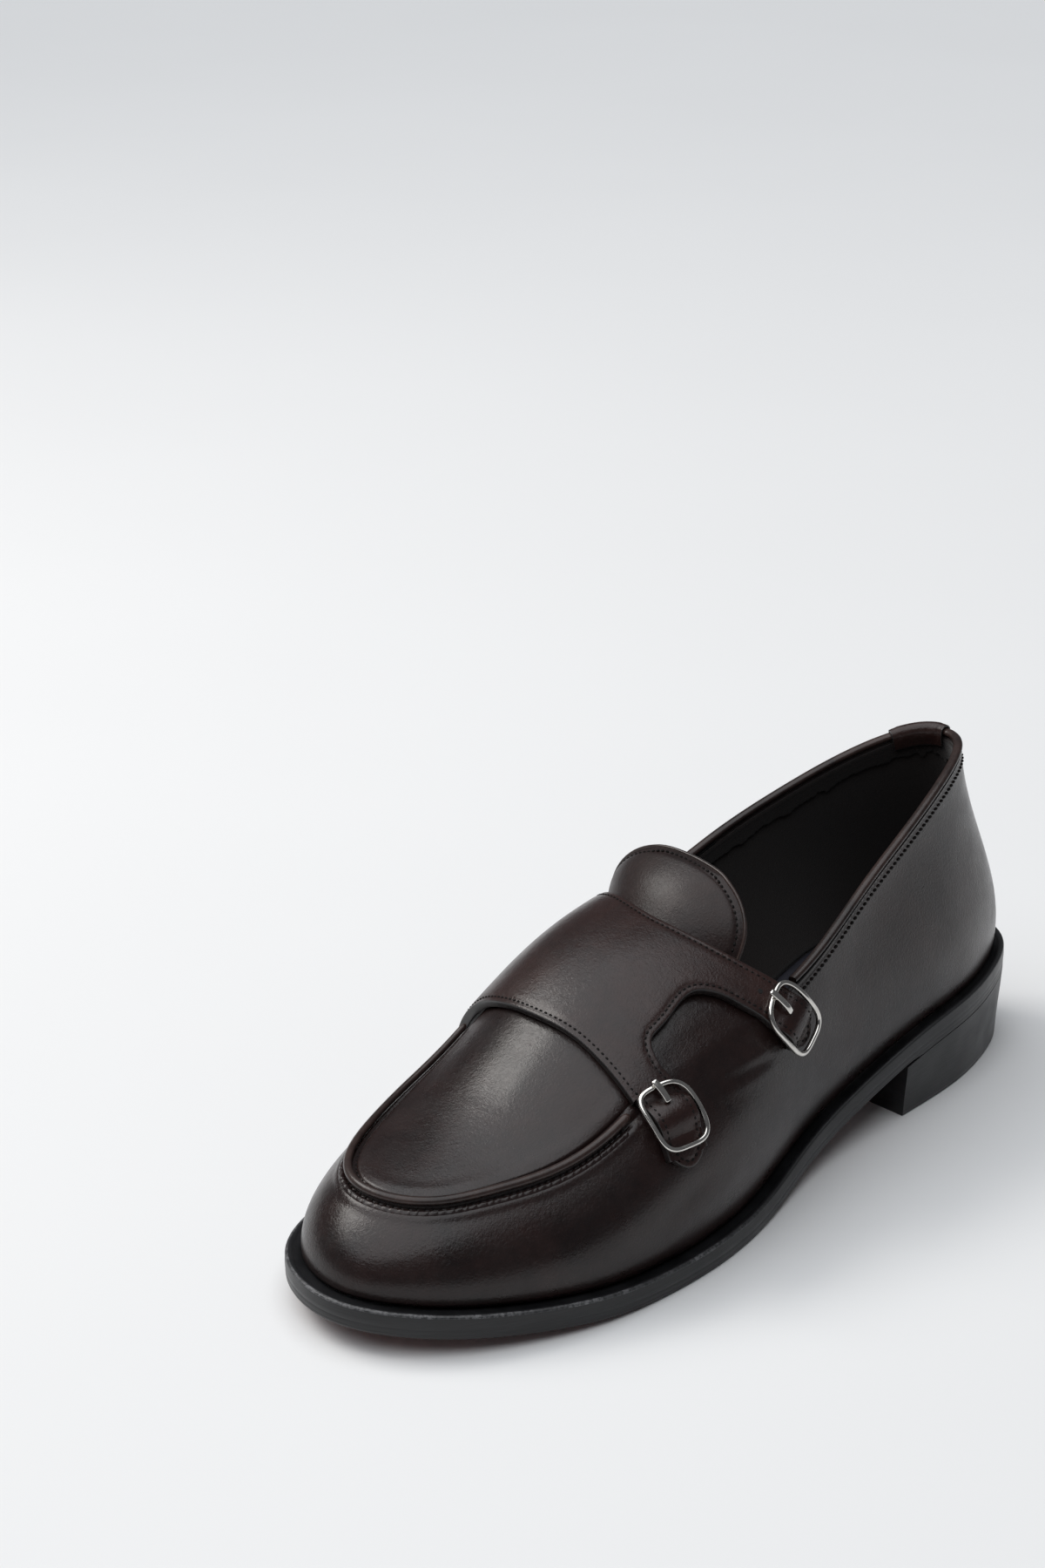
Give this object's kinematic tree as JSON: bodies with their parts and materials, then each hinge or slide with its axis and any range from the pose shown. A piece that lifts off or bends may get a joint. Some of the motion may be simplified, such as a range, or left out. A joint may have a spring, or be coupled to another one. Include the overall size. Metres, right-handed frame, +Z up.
{
  "type": "monk strap loafer",
  "caption": "Left slip-on leather loafer with an apron toe, a cut-out instep strap held by twin metal buckles, a bound collar, a tongue and a low stacked heel.",
  "frame": {"origin": "middle of the outline's length and width on the floor under the sole, where heel and forefoot rest at Z = 0", "axes": "+Z up, +Y towards the heel, -Y towards the toe, +X towards the outer (lateral) side of the left foot"},
  "size_m": [0.0983, 0.2904, 0.1078],
  "materials": {
    "upper_leather": "polished dark brown calf leather",
    "strap_leather": "dark reddish brown calf leather",
    "trim_leather": "brown leather piping and binding",
    "sole_black": "black dyed leather edge, satin",
    "sock_lining": "dark navy leather sock",
    "buckle_steel": "polished pale steel"
  },
  "bodies": {
    "root": {"outsole": "sole_black", "heel": "sole_black", "upper": "upper_leather", "insole": "sock_lining", "tongue": "upper_leather", "strap": "strap_leather", "buckle_front": "buckle_steel", "buckle_rear": "buckle_steel", "prong_front": "buckle_steel", "prong_rear": "buckle_steel", "apron_piping": "trim_leather", "collar_binding": "trim_leather", "heel_tab": "strap_leather"}
  },
  "joints": []
}
